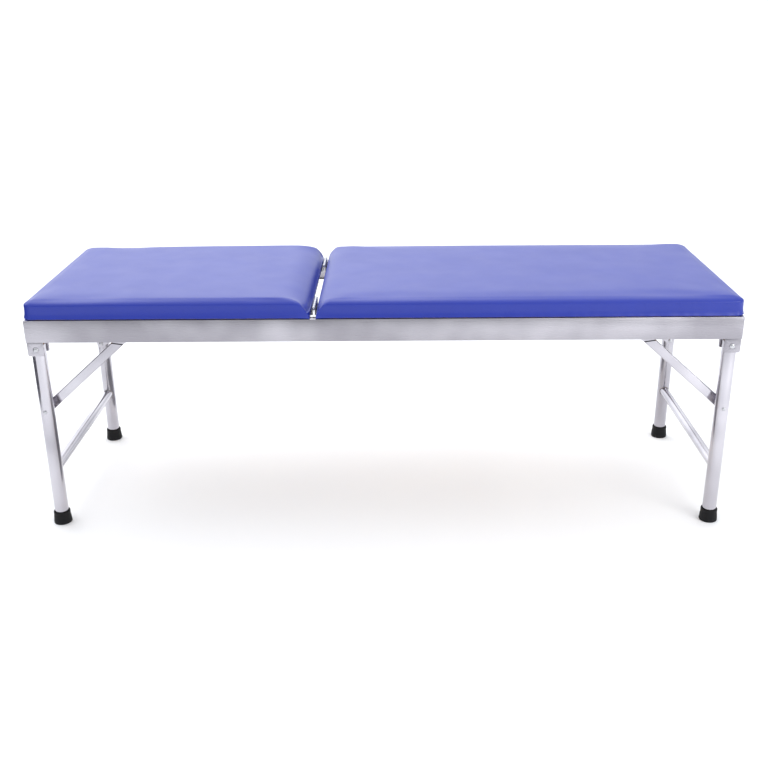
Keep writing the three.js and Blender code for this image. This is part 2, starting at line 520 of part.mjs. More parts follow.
// ---------------------------------------------------------------- ratchet stays
function makeStays() {
  const run = STAY_HEAD.clone().sub(STAY_FOOT);
  const length = run.length();
  const angle = Math.atan2(run.y, run.x);
  // Drawn with the foot pivot at the origin and the stay along +X, then turned into place.
  const place = (body, signY) => solid(
    geometryOf(body).rotateY(-angle).translate(STAY_FOOT.x, -signY * STAY_Y, STAY_FOOT.y));

  const halfDepth = SLEEVE_DEPTH / 2;
  const halfWidth = SLEEVE_WIDTH / 2;
  const sleeve = cut(
    join(box(9, SLEEVE_LENGTH, -halfWidth, halfWidth, -halfDepth, halfDepth),
      barAlongY(halfDepth, -halfWidth, halfWidth, 0, 0, 16)),
    box(16, SLEEVE_LENGTH + BEYOND, -halfWidth + SHEET, halfWidth - SHEET,
      -halfDepth + SHEET, halfDepth - SHEET),
    barAlongY(STAY_ROD + RUNNING, -SLEEVE_WIDTH, SLEEVE_WIDTH, 0, 0));

  // The bar's lower edge carries the ratchet teeth.
  const slack = 0.4; // between the bar and the sleeve or its lug
  const barHalf = halfDepth - SHEET - slack;
  const bar = new THREE.Shape();
  bar.moveTo(20, -barHalf);
  for (let tooth = 0; tooth < TEETH.count; tooth += 1) {
    const x = TEETH.start + tooth * TEETH.pitch;
    bar.lineTo(x, -barHalf);
    bar.lineTo(x, -barHalf + TEETH.depth);
    bar.lineTo(x + TEETH.slope, -barHalf);
  }
  bar.lineTo(length - 6, -barHalf);
  bar.absarc(length, 0, BAR_EYE, -Math.PI / 2, Math.PI / 2);
  bar.lineTo(length - 6, barHalf);
  bar.lineTo(20, barHalf);
  const barWidth = halfWidth - SHEET - slack;
  const ratchetBar = drawnAlongY(bar, -barWidth, barWidth, 6);

  const foot = PAD_BOTTOM - CLEAR;
  const rivetHead = 4.5;
  const earGap = barWidth + slack;
  const ear = (y0) => {
    const shape = new THREE.Shape();
    shape.absarc(STAY_HEAD.x, STAY_HEAD.y, LUG_RADIUS, Math.PI, Math.PI * 2);
    shape.lineTo(STAY_HEAD.x + LUG_RADIUS, foot);
    shape.lineTo(STAY_HEAD.x - LUG_RADIUS, foot);
    return drawnAlongY(shape, y0, y0 + EAR);
  };
  const lug = join(
    box(STAY_HEAD.x - 2 * LUG_RADIUS, STAY_HEAD.x + 2 * LUG_RADIUS, -14, 14, foot - PLATE, foot),
    ear(earGap), ear(-earGap - EAR),
    barAlongY(rivetHead, earGap + EAR - 1, earGap + EAR + 2, STAY_HEAD.x, STAY_HEAD.y),
    barAlongY(rivetHead, -earGap - EAR - 2, -earGap - EAR + 1, STAY_HEAD.x, STAY_HEAD.y));

  for (const [side, signY] of SIDES) {
    addSolid(`${side}_stay_sleeve`, place(sleeve, signY), ZINC);
    addSolid(`${side}_stay_ratchet_bar`, place(ratchetBar, signY), ZINC);
    addPiece(`${side}_stay_lug`, geometryOf(lug).translate(0, -signY * STAY_Y, 0), ZINC);
  }
  const rodEnd = STAY_Y + SLEEVE_WIDTH / 2 + 8;
  addSolid('stay_pivot_rod', turnedAlongY([
    [0, -rodEnd - 1], [STAY_ROD - 1, -rodEnd - 1], [STAY_ROD, -rodEnd], [STAY_ROD, rodEnd],
    [STAY_ROD - 1, rodEnd + 1], [0, rodEnd + 1],
  ], STAY_FOOT.x, STAY_FOOT.y), ZINC);
}

makeRails();
makeCrossTubes();
makeLegBrackets();
makeLegs();
makeBraces();
makePads();
makeHinges();
makeStays();

export default couch;
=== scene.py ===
"""Folding examination couch: the finished looks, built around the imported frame.

Metres. +X points to the foot end, +Y to the rear side and +Z up, with the floor at Z = 0.
"""

import json
import math

import bmesh
import bpy
import numpy as np
from mathutils import Matrix, Vector


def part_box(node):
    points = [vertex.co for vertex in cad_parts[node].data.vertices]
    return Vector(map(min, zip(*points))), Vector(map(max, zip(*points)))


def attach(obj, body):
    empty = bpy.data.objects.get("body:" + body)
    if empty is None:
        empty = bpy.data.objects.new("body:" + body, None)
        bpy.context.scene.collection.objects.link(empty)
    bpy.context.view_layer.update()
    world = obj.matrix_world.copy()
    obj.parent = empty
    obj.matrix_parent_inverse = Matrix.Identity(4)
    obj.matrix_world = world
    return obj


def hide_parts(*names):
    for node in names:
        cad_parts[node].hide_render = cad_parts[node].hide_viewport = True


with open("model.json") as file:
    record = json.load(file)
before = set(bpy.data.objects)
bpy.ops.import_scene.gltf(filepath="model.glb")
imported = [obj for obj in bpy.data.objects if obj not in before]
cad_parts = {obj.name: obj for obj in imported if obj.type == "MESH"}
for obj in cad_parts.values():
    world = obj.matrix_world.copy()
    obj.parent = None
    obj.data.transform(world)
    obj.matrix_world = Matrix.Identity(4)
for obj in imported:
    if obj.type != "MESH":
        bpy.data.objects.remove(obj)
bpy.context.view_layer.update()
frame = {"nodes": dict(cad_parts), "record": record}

MM = 0.001
ENDS = {"head": -1, "foot": 1}
SIDES = {"front": -1, "rear": 1}
CORNERS = [(end, side) for end in ENDS for side in SIDES]
BODY_OF = {node: body for body, nodes in frame["record"]["behaviour"]["bodies"].items() for node in nodes}
STEEL_SLOT, ZINC_SLOT, VINYL_SLOT = "stainless_steel", "zinc_steel", "blue_vinyl"


def middle(node):
    """The centre of a CAD node's box."""
    low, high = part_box(node)
    return (low + high) / 2


# ---------------------------------------------------------------- camera, light and floor
def look_from(place, yaw, pitch, roll):
    """A camera's matrix: yaw turns right of +Y, pitch looks down, roll leans it over."""
    ahead = Vector((math.sin(yaw) * math.cos(pitch), math.cos(yaw) * math.cos(pitch), -math.sin(pitch)))
    level = Vector((math.cos(yaw), -math.sin(yaw), 0))
    upright = level.cross(ahead)
    right = level * math.cos(roll) + upright * math.sin(roll)
    up = upright * math.cos(roll) - level * math.sin(roll)
    turn = Matrix((right, up, -ahead)).transposed().to_4x4()
    return Matrix.Translation(place) @ turn


def make_camera():
    camera = bpy.data.objects.new("camera", bpy.data.cameras.new("camera"))
    camera.data.sensor_width = 36.0
    camera.data.lens = 46.917
    camera.matrix_world = look_from(Vector((0.0329, -2.8052, 1.4218)), -0.01208, 0.37874, -0.00958)
    bpy.context.scene.collection.objects.link(camera)
    bpy.context.scene.camera = camera


def soft_light(name, place, aim, size, watts):
    data = bpy.data.lights.new(name, "AREA")
    data.shape = "RECTANGLE"
    data.size, data.size_y = size
    data.energy = watts
    light = bpy.data.objects.new(name, data)
    light.location = place
    light.rotation_mode = "QUATERNION"
    light.rotation_quaternion = (Vector(aim) - Vector(place)).to_track_quat("-Z", "Y")
    bpy.context.scene.collection.objects.link(light)


def staged_plane(name, corners, material):
    """A floor or a studio card, which isn't part of the couch."""
    mesh = bpy.data.meshes.new(name)
    mesh.from_pydata(corners, [], [(0, 1, 2, 3)])
    mesh.materials.append(material)
    plane = bpy.data.objects.new(name, mesh)
    bpy.context.scene.collection.objects.link(plane)
    return plane


def grey_card(name, grey, corners):
    """A grey card that only the polished metal mirrors: a painted dark reflection, unseen by the camera and
    casting no shadow or diffuse light.
    """
    material = new_material(name + "_felt", {"Roughness": 1.0, "Base Color": linear(grey)})[0]
    card = staged_plane(name, corners, material)
    card.visible_camera = card.visible_diffuse = card.visible_shadow = False


SKY_EVEN, SKY_OVERHEAD, SKY_BEHIND = 0.46, 0.97, 1.15  # strengths of its three parts


def make_sky():
    """Soft light from all round: strongest overhead and behind on the left, weakest at the front right."""
    world = bpy.data.worlds.new("studio")
    world.use_nodes = True
    tree = world.node_tree
    ray = add_node(tree, "ShaderNodeTexCoord").outputs["Generated"]
    height = add_node(tree, "ShaderNodeSeparateXYZ", links={"Vector": ray}).outputs["Z"]
    behind = add_node(tree, "ShaderNodeVectorMath", {"operation": "DOT_PRODUCT"}, {1: (-0.72, 0.9, 0.0)},
                      {0: ray}).outputs["Value"]
    overhead = ramp(tree, height, SKY_EVEN, SKY_EVEN + SKY_OVERHEAD)
    strength = add_node(tree, "ShaderNodeMath", {"operation": "ADD"},
                        links={0: overhead, 1: ramp(tree, behind, 0.0, SKY_BEHIND)}).outputs[0]
    backdrop = tree.nodes["Background"]
    backdrop.inputs["Color"].default_value = linear("#f5f8fc")
    tree.links.new(strength, backdrop.inputs["Strength"])
    bpy.context.scene.world = world


def make_studio():
    """A pale floor without an edge in sight, a soft sky, two large soft boxes and two grey cards that only
    the metal mirrors, as painted dark reflections.
    """
    bpy.context.scene.view_settings.view_transform = "Standard"
    make_sky()
    soft_light("right_soft_box", (2.6, -2.4, 1.6), (0.4, 0, 0.5), (1.8, 1.4), 34)
    soft_light("overhead_soft_box", (-0.9, 1.4, 3.0), (-0.2, 0, 0.5), (3.0, 2.0), 20)
    half = 40
    staged_plane("floor", [(-half, -half, 0), (half, -half, 0), (half, half, 0), (-half, half, 0)],
                 painted_floor())
    card_x, card_z = -1.9, 0.01
    # Painted reflection: a dark grey card on the left, seen only in the metal, paints dark stripes on the
    # left sides of the tubes.
    grey_card("left_card", "#54545a", [(card_x, -1.1, card_z), (card_x, 0.5, card_z),
                                       (card_x, 0.5, 1.0), (card_x, -1.1, 1.0)])
    # Painted shade: a grey card on the floor under the couch, seen only in the metal, stands for the couch's
    # shadow there.
    grey_card("under_card", "#8f8f94", [(-0.7, -0.3, card_z), (0.35, -0.3, card_z),
                                        (0.35, 0.5, card_z), (-0.7, 0.5, card_z)])


# ---------------------------------------------------------------- materials
def linear(hex_colour):
    """An sRGB hex colour as linear RGBA."""
    channels = [int(hex_colour[i:i + 2], 16) / 255 for i in (1, 3, 5)]
    return tuple(c / 12.92 if c <= 0.04045 else ((c + 0.055) / 1.055) ** 2.4 for c in channels) + (1.0,)


def add_node(tree, kind, settings=None, values=None, links=None):
    """Adds a node: settings are its properties, values go in its sockets, and links join outputs to them."""
    node = tree.nodes.new(kind)
    for name, value in (settings or {}).items():
        setattr(node, name, value)
    for socket, value in (values or {}).items():
        node.inputs[socket].default_value = value
    for socket, output in (links or {}).items():
        tree.links.new(output, node.inputs[socket])
    return node


def new_material(name, base):
    """A material with one Principled shader, and the values of its sockets."""
    material = bpy.data.materials.new(name)
    material.use_nodes = True
    tree = material.node_tree
    tree.nodes.clear()
    shader = add_node(tree, "ShaderNodeBsdfPrincipled", values=base)
    add_node(tree, "ShaderNodeOutputMaterial", links={"Surface": shader.outputs["BSDF"]})
    place = add_node(tree, "ShaderNodeTexCoord").outputs["Object"]
    return material, tree, shader, place


def noise(tree, place, size, detail=3.0, roughness=0.5):
    """Cloudy noise whose features are about size metres across; size may differ along X, Y and Z."""
    sizes = size if isinstance(size, tuple) else (size,) * 3
    scaled = add_node(tree, "ShaderNodeMapping", values={"Scale": tuple(1 / s for s in sizes)},
                      links={"Vector": place})
    return add_node(tree, "ShaderNodeTexNoise",
                    values={"Scale": 1.0, "Detail": detail, "Roughness": roughness},
                    links={"Vector": scaled.outputs["Vector"]}).outputs["Fac"]


def ramp(tree, factor, low, high, start=0.0, end=1.0):
    """Maps start..end of a factor onto low..high."""
    return add_node(tree, "ShaderNodeMapRange",
                    values={"From Min": start, "From Max": end, "To Min": low, "To Max": high},
                    links={"Value": factor}).outputs["Result"]


def tint(tree, factor, dark, light):
    """A colour between two sRGB hex colours."""
    node = add_node(tree, "ShaderNodeMix", {"data_type": "RGBA"}, links={"Factor": factor})
    node.inputs["A"].default_value = linear(dark)
    node.inputs["B"].default_value = linear(light)
    return node.outputs["Result"]


def bump(tree, height, depth, strength=1.0, under=None):
    """A bump of the given depth in metres, laid over another bump's normal."""
    node = add_node(tree, "ShaderNodeBump", values={"Distance": depth, "Strength": strength},
                    links={"Height": height})
    if under is not None:
        tree.links.new(under, node.inputs["Normal"])
    return node.outputs["Normal"]


def painted_floor():
    material, tree, shader, place = new_material("matt_white_studio_floor", {"Roughness": 0.9})
    tree.links.new(tint(tree, noise(tree, place, 0.6), "#f8f8f9", "#fcfcfc"), shader.inputs["Base Color"])
    return material


def brushed_stainless(name, along, lean=0.0, polish=(0.22, 0.38), tones=("#a5a2a9", "#cfccd2")):
    """Ferritic stainless sheet and tube, belt brushed along one axis: fine lengthwise scratches that
    blur what it mirrors, with soft grey clouds where the belt pressed less."""
    material, tree, shader, place = new_material(name, {"Metallic": 1.0})
    turned = add_node(tree, "ShaderNodeMapping", values={"Rotation": (0, lean, 0)},
                      links={"Vector": place}).outputs["Vector"]
    # Belt scratches are near 0.1 mm apart; drawn at 0.6 mm so that they show.
    scratch = [0.6 * MM] * 3
    scratch[along] = 90 * MM
    lines = noise(tree, turned, tuple(scratch), 2.0)
    clouds = noise(tree, place, 0.2, 2.0)
    blend = add_node(tree, "ShaderNodeMath", {"operation": "MULTIPLY_ADD"},
                     {1: 0.35}, {0: lines, 2: ramp(tree, clouds, 0.0, 0.65, 0.36, 0.64)})
    tree.links.new(tint(tree, blend.outputs[0], *tones), shader.inputs["Base Color"])
    tree.links.new(ramp(tree, lines, *polish, 0.3, 0.7), shader.inputs["Roughness"])
    tree.links.new(bump(tree, lines, 0.05 * MM, 0.5), shader.inputs["Normal"])
    return material


def zinc_steel():
    """Mild steel fasteners, bright zinc plated and rolled in a barrel: a cool, faintly mottled grey."""
    material, tree, shader, place = new_material("zinc_plated_steel", {"Metallic": 1.0})
    mottle = noise(tree, place, 3 * MM)
    tree.links.new(tint(tree, mottle, "#a9a9ad", "#d6d6d9"), shader.inputs["Base Color"])
    tree.links.new(ramp(tree, mottle, 0.18, 0.36, 0.3, 0.7), shader.inputs["Roughness"])
    tree.links.new(bump(tree, noise(tree, place, 0.8 * MM), 0.03 * MM, 0.4), shader.inputs["Normal"])
    return material


def moulded_rubber():
    """Black rubber, press moulded: a dull near-black with a fine spark-eroded texture and pale scuffs
    low down where it drags on the floor."""
    material, tree, shader, place = new_material("moulded_rubber", {"IOR": 1.52, "Specular IOR Level": 0.25})
    height = add_node(tree, "ShaderNodeSeparateXYZ", links={"Vector": place}).outputs["Z"]
    worn = ramp(tree, height, 1.0, 0.0, 0.0, 9 * MM)
    scuff = add_node(tree, "ShaderNodeMath", {"operation": "MULTIPLY"}, links={
        0: worn, 1: ramp(tree, noise(tree, place, 6 * MM, 5.0, 0.7), 0.0, 1.0, 0.45, 0.75)}).outputs[0]
    tree.links.new(tint(tree, scuff, "#09090c", "#343338"), shader.inputs["Base Color"])
    tree.links.new(ramp(tree, noise(tree, place, 2 * MM), 0.5, 0.72, 0.3, 0.7), shader.inputs["Roughness"])
    tree.links.new(bump(tree, noise(tree, place, 0.5 * MM), 0.05 * MM, 0.6), shader.inputs["Normal"])
    return material


def coated_cloth():
    """PVC-coated upholstery cloth, calendered with a fine leather grain: satin blue, its coat mirroring
    the room softly at a low angle, over foam that is never quite flat."""
    material, tree, shader, place = new_material(
        "embossed_pvc_upholstery", {"IOR": 1.5, "Coat Weight": 0.2, "Coat Roughness": 0.3, "Coat IOR": 1.5})
    # The pebbles of the grain are 1.4 mm apart, between creases.
    scaled = add_node(tree, "ShaderNodeMapping", values={"Scale": (1 / (1.4 * MM),) * 3},
                      links={"Vector": place})
    grain = add_node(tree, "ShaderNodeTexVoronoi", {"feature": "SMOOTH_F1"},
                     {"Scale": 1.0, "Smoothness": 0.6, "Randomness": 0.9},
                     {"Vector": scaled.outputs["Vector"]}).outputs["Distance"]
    crease = ramp(tree, grain, 1.0, 0.0, 0.1, 0.75)
    dye = noise(tree, place, 0.09, 3.0)
    # Painted shade: the grain's valleys are coloured darker than its pebbles, mixed with the dye's random
    # clouds.
    shade = add_node(tree, "ShaderNodeMath", {"operation": "MULTIPLY_ADD"}, {1: 0.35},
                     {0: crease, 2: ramp(tree, dye, 0.25, 0.5, 0.3, 0.7)}).outputs[0]
    tree.links.new(tint(tree, shade, "#09248f", "#102c9d"), shader.inputs["Base Color"])
    tree.links.new(ramp(tree, noise(tree, place, 0.08, 4.0), 0.38, 0.43, 0.3, 0.7),
                   shader.inputs["Roughness"])
    swell = bump(tree, noise(tree, place, 0.11, 2.0), 0.6 * MM, 0.2)
    tree.links.new(bump(tree, crease, 0.10 * MM, 0.3, swell), shader.inputs["Normal"])
    return material


def birch_plywood():
    """Rotary-cut poplar plywood, sanded and left bare: pale tan figure along X and glued plies at the
    edges."""
    material, tree, shader, place = new_material("bare_poplar_plywood", {"Roughness": 0.75})
    figure = noise(tree, place, (0.22, 14 * MM, 0.05), 6.0, 0.6)
    # Five plies in the board's thickness.
    plies = add_node(tree, "ShaderNodeTexWave", {"bands_direction": "Z"},
                     {"Scale": 1 / (2.4 * MM) / 6.28, "Distortion": 0.4}, {"Vector": place}).outputs["Fac"]
    mixed = add_node(tree, "ShaderNodeMath", {"operation": "MULTIPLY_ADD"}, {1: 0.2},
                     {0: plies, 2: ramp(tree, figure, 0.0, 0.8, 0.3, 0.7)}).outputs[0]
    tree.links.new(tint(tree, mixed, "#9c7850", "#d2b088"), shader.inputs["Base Color"])
    tree.links.new(bump(tree, figure, 0.2 * MM, 0.5), shader.inputs["Normal"])
    return material


# ---------------------------------------------------------------- shapes: (vertices, faces)
def joined(*shapes):
    verts, faces = [], []
    for more_verts, more_faces in shapes:
        start = len(verts)
        verts += [tuple(v) for v in more_verts]
        faces += [tuple(start + i for i in face) for face in more_faces]
    return verts, faces


def moved(shape, matrix):
    return [tuple(matrix @ Vector(v)) for v in shape[0]], shape[1]


def softened(points, radius, steps=3, closed=False):
    """An outline with its corners rounded; on an open one the two ends stay."""
    count = len(points)
    soft = []
    for i, point in enumerate(points):
        here = Vector(point)
        if not closed and i in (0, count - 1):
            soft.append(tuple(here))
            continue
        back, on = Vector(points[i - 1]) - here, Vector(points[(i + 1) % count]) - here
        reach = min(radius, back.length * 0.45, on.length * 0.45)
        start, end = here + back.normalized() * reach, here + on.normalized() * reach
        for k in range(steps + 1):
            t = k / steps
            soft.append(tuple(start * (1 - t) ** 2 + here * 2 * t * (1 - t) + end * t ** 2))
    return soft


def turned(profile, segments=48):
    """A lathe-turned shape round Z from (radius, height) points that start and end on the axis."""
    verts = [(0, 0, profile[0][1])]
    for radius, height in profile[1:-1]:
        verts += [(radius * math.cos(a), radius * math.sin(a), height)
                  for a in np.linspace(0, 2 * math.pi, segments, endpoint=False)]
    verts.append((0, 0, profile[-1][1]))
    last = len(verts) - 1
    faces = []
    for k in range(segments):
        nxt = (k + 1) % segments
        faces.append((0, 1 + nxt, 1 + k))
        for row in range(len(profile) - 3):
            a, b = 1 + row * segments, 1 + (row + 1) * segments
            faces.append((a + k, a + nxt, b + nxt, b + k))
        end = 1 + (len(profile) - 3) * segments
        faces.append((end + k, end + nxt, last))
    return verts, faces


def ring(inner, outer, low, high, segments=40, edge=0.3 * MM):
    """A turned ring round Z with a hole through it."""
    profile = softened([(inner, low), (outer, low), (outer, high), (inner, high)], edge, 2, True)
    rows = len(profile)
    verts = [(radius * math.cos(a), radius * math.sin(a), height) for radius, height in profile
             for a in np.linspace(0, 2 * math.pi, segments, endpoint=False)]
    faces = [(row * segments + k, row * segments + (k + 1) % segments,
              (row + 1) % rows * segments + (k + 1) % segments, (row + 1) % rows * segments + k)
             for row in range(rows) for k in range(segments)]
    return verts, faces


def prism(outline, low, high):
    """An outline in X and Y drawn out along Z."""
    count = len(outline)
    verts = [(x, y, z) for z in (low, high) for x, y in outline]
    faces = [tuple(reversed(range(count))), tuple(range(count, 2 * count))]
    faces += [(k, (k + 1) % count, count + (k + 1) % count, count + k) for k in range(count)]
    return verts, faces


def lofted(loops):
    """A skin over loops of equal point counts, closed with a face at each end."""
    count = len(loops[0])
    verts = [tuple(p) for loop in loops for p in loop]
    faces = [tuple(reversed(range(count))), tuple(range((len(loops) - 1) * count, len(loops) * count))]
    faces += [(row * count + k, row * count + (k + 1) % count,
               (row + 1) * count + (k + 1) % count, (row + 1) * count + k)
              for row in range(len(loops) - 1) for k in range(count)]
    return verts, faces


# Lays a shape that was made round Z along Y, with its own +Z towards the front or the rear.
TO_FRONT = Matrix.Rotation(math.pi / 2, 4, "X")
TO_REAR = Matrix.Rotation(-math.pi / 2, 4, "X")
LAY = {-1: TO_FRONT, 1: TO_REAR}


# ---------------------------------------------------------------- finishing a piece
def new_object(name, mesh):
    piece = bpy.data.objects.new(name, mesh)
    bpy.context.scene.collection.objects.link(piece)
    return piece


def applied(piece):
    """Turns a piece's modifiers into plain mesh."""
    graph = bpy.context.evaluated_depsgraph_get()
    mesh = bpy.data.meshes.new_from_object(piece.evaluated_get(graph))
    piece.modifiers.clear()
    old, piece.data = piece.data, mesh
    bpy.data.meshes.remove(old)
    mesh.name = piece.name
    return piece


def dress(piece, material, body, stands_for=()):
    """Gives a piece its material, its body and the CAD nodes it stands for."""
    piece.data.materials.clear()
    piece.data.materials.append(material)
    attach(piece, body)
    if stands_for:
        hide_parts(*stands_for)
    return piece


def make_piece(name, shape, material, node, stands_for=None, edge=0.0, sharp=35):
    """A finished piece from a shape. It rides with a CAD node and stands for it, or for the named nodes."""
    mesh = bpy.data.meshes.new(name)
    mesh.from_pydata(shape[0], [], shape[1])
    tidy = bmesh.new()
    tidy.from_mesh(mesh)
    bmesh.ops.remove_doubles(tidy, verts=tidy.verts, dist=1e-6)
    bmesh.ops.recalc_face_normals(tidy, faces=tidy.faces)
    tidy.to_mesh(mesh)
    tidy.free()
    piece = new_object(name, mesh)
    finish_edges(piece, edge, sharp)
    return dress(piece, material, BODY_OF[node], (node,) if stands_for is None else stands_for)


def finish_edges(piece, edge, sharp):
    if edge:
        bevel = piece.modifiers.new("edge", "BEVEL")
        bevel.width = edge
        bevel.segments = 2
        bevel.limit_method = "ANGLE"
        bevel.angle_limit = math.radians(28)
        applied(piece)
    piece.data.shade_smooth()
    piece.data.set_sharp_from_angle(angle=math.radians(sharp))


def refined(node, material, edge):
    """A copy of a CAD node with its flat faces merged and its edges broken, standing for the node."""
    mesh = frame["nodes"][node].data.copy()
    tidy = bmesh.new()
    tidy.from_mesh(mesh)
    bmesh.ops.remove_doubles(tidy, verts=tidy.verts, dist=2e-6)
    bmesh.ops.dissolve_limit(tidy, angle_limit=math.radians(1), verts=tidy.verts, edges=tidy.edges)
    tidy.to_mesh(mesh)
    tidy.free()
    piece = new_object(node + "_finished", mesh)
    for attribute in [a for a in mesh.attributes if a.name == "custom_normal"]:
        mesh.attributes.remove(attribute)
    finish_edges(piece, edge, 35)
    return dress(piece, material, BODY_OF[node], (node,))


# ---------------------------------------------------------------- frame
def make_frame():
    sheet_tones = ("#908d94", "#c3c0c6")
    lengthwise = brushed_stainless("stainless_brushed_lengthwise", 0, tones=sheet_tones)
    crosswise = brushed_stainless("stainless_brushed_crosswise", 1, tones=sheet_tones)
    for node in ("front_rail", "rear_rail"):
        refined(node, lengthwise, 0.5 * MM)
    for node in ("head_end_rail", "foot_end_rail"):
        refined(node, crosswise, 0.5 * MM)
    for place in ("head", "backrest", "hinge", "seat", "foot"):
        refined(f"{place}_cross_tube", crosswise, 0.3 * MM)
    for end, side in CORNERS:
        refined(f"{end}_{side}_leg_bracket", lengthwise, 0.6 * MM)
        refined(f"{end}_{side}_brace_guide", lengthwise, 0.4 * MM)


# ---------------------------------------------------------------- folding legs
TUBE_POLISH = (0.12, 0.24)  # the drawn tubes are brighter than the folded sheet


def make_legs(zinc, rubber):
    upright = brushed_stainless("stainless_tube_brushed_upright", 2, polish=TUBE_POLISH)
    crosswise = brushed_stainless("stainless_tube_brushed_crosswise", 1, polish=TUBE_POLISH)
    for end, side in CORNERS:
        corner = f"{end}_{side}"
        low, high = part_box(f"{corner}_leg")
        radius = (high.x - low.x) / 2
        centre = middle(f"{corner}_leg")
        stand = Matrix.Translation((centre.x, centre.y, 0))
        crown = [(radius * math.cos(a), high.z - radius * 0.6 * (1 - math.sin(a)))
                 for a in np.linspace(0, math.pi / 2, 9)]
        foot = softened([(radius - 2 * MM, low.z), (radius, low.z), crown[0]], 0.5 * MM)
        tube = [(0, low.z), *foot, *crown[1:-1], (0, high.z)]
        make_piece(f"{corner}_leg_tube", moved(turned(tube, 64), stand), upright,
                   f"{corner}_leg")
        make_ferrule(corner, stand, rubber)
        make_pivot_bolt(corner, SIDES[side], zinc)
    for end in ENDS:
        node = f"{end}_leg_crossbar"
        low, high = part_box(node)
        radius = (high.z - low.z) / 2
        # The tube's ends are coped into the legs, so they run on a little way inside them.
        half = high.y + 1.5 * MM
        bar = [(0, -half), (radius, -half), (radius, half), (0, half)]
        centre = middle(node)
        make_piece(f"{end}_leg_crossbar_tube",
                   moved(turned(bar, 56), Matrix.Translation((centre.x, 0, centre.z)) @ TO_REAR),
                   crosswise, node)


def make_ferrule(corner, stand, rubber):
    node = f"{corner}_foot_ferrule"
    low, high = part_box(node)
    base, top = (high.x - low.x) / 2, high.z
    bore = base - 5.6 * MM
    outside = [(0, 0.8 * MM), (base - 9 * MM, 0.8 * MM), (base - 10 * MM, 0), (base - 1.4 * MM, 0),
               (base, 2 * MM), (base - 0.4 * MM, 8 * MM), (base - 2.6 * MM, top - 8 * MM),
               (base - 2.6 * MM, top - 7 * MM), (base - 2.2 * MM, top - 6.5 * MM),
               (base - 2.2 * MM, top - 2 * MM), (base - 3.2 * MM, top), (bore, top),
               (bore, top - 18 * MM), (0, top - 18 * MM)]
    profile = softened(outside, 1.2 * MM, 3)
    make_piece(f"{corner}_rubber_foot", moved(turned(profile, 64), stand), rubber, node)


def domed_head(radius, height, face):
    """Profile points of a low round head, from its middle out to its edge at face."""
    return [(radius * math.sin(a), face + height * math.cos(a)) for a in np.linspace(0, math.pi / 2, 9)]


def make_pivot_bolt(corner, outward, zinc):
    """A round-headed bolt through bracket and leg, with a washer and a lock nut on the inside."""
    node = f"{corner}_leg_pivot_bolt"
    low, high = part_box(node)
    centre = middle(node)
    shank, washer, nut = 4 * MM, 8.2 * MM, 6.8 * MM
    # Made with the head up along +Z from the middle of the bolt, then laid along Y.
    half = (high.y - low.y) / 2
    head_face = half - 3.2 * MM
    nut_face = -half + 8 * MM
    head = [*domed_head(7.4 * MM, 3.2 * MM, head_face), (shank, head_face), (shank, -half), (0, -half)]
    hexagon = softened([(nut * math.cos(a), nut * math.sin(a))
                        for a in np.linspace(0, 2 * math.pi, 6, endpoint=False)], 0.5 * MM, 2, True)
    nut_back = nut_face - 6 * MM
    collar_back = nut_back - 1.9 * MM
    collar = [(0, nut_back), (5.6 * MM, nut_back), (5.2 * MM, collar_back + 0.3 * MM),
              (4.2 * MM, collar_back), (0, collar_back)]
    shape = joined(turned(head), prism(hexagon, nut_back, nut_face),
                   turned([(0, nut_face + 0.1 * MM), (washer, nut_face + 0.1 * MM),
                           (washer, nut_face - 1.2 * MM), (0, nut_face - 1.2 * MM)]),
                   turned(collar[::-1]))
    make_piece(f"{corner}_pivot_bolt_and_nut", moved(shape, Matrix.Translation(centre) @ LAY[outward]), zinc,
               node, edge=0.25 * MM)


# ---------------------------------------------------------------- folding braces
BRACE_WIDTH = 25 * MM
BRACE_DEPTH = 12 * MM
BRACE_END = 13 * MM  # radius of the flattened ends
BRACE_PLATE = 3 * MM  # thickness of the flattened ends
MOUTH_LEAN = 0.75  # 1 would saw the upper ends off level, and 0 straight across


def smooth_step(t):
    t = min(max(t, 0.0), 1.0)
    return t * t * (3 - 2 * t)


def brace_loop(along, half_width, half_depth, corner):
    """One section of the brace at a distance along it: a rectangle with round corners."""
    corner = min(corner, half_depth * 0.999, half_width * 0.999)
    loop = []
    for turn, (u, v) in enumerate([(1, 1), (-1, 1), (-1, -1), (1, -1)]):
        for k in range(9):
            a = math.pi / 2 * (turn + k / 8)
            loop.append((along, u * (half_width - corner) + corner * math.cos(a),
                         v * (half_depth - corner) + corner * math.sin(a)))
    return loop


